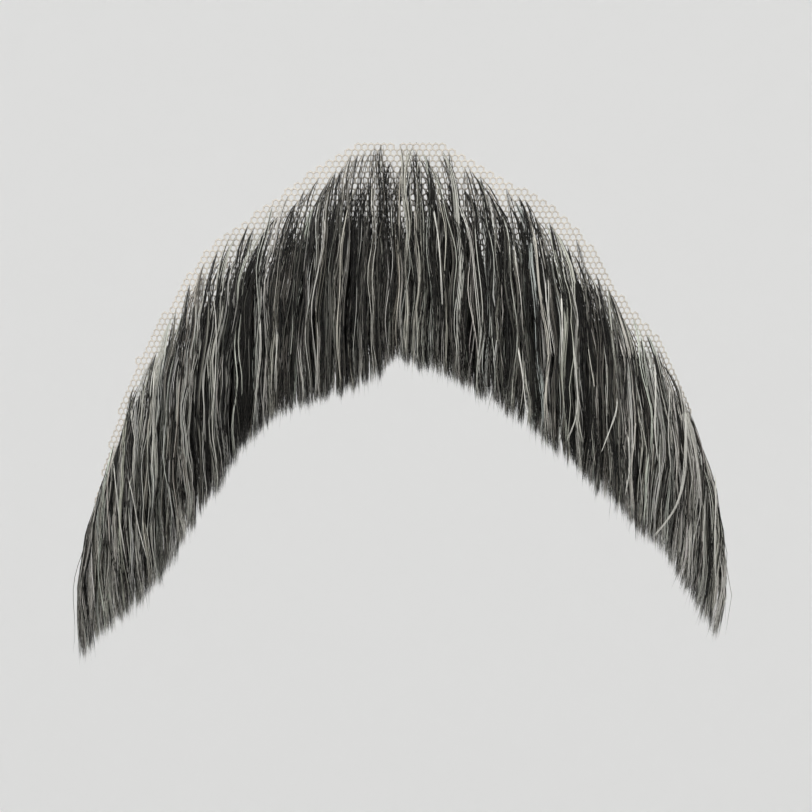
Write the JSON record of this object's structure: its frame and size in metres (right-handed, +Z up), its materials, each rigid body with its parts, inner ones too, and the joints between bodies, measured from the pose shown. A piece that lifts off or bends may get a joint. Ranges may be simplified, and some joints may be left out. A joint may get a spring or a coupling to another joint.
{
  "type": "fake moustache",
  "caption": "Drooping false moustache: two wings of long salt-and-pepper hair knotted to a fine lace base that curves round the upper lip and cheeks.",
  "frame": {"origin": "on the back of the lace, over the middle of the upper lip, where the moustache sits on the skin", "axes": "+X to the right across the lip as seen from the front, +Y back into the skin, +Z up towards the nose; the hair faces -Y"},
  "size_m": [0.0746, 0.0245, 0.056],
  "materials": {
    "lace": "fine flesh-coloured net, matt and half see-through",
    "hair": "dark hair mixed with grey, softly glossy along its length"
  },
  "bodies": {
    "root": {"lace_base": "lace", "hair_left": "hair", "hair_right": "hair"}
  },
  "joints": []
}
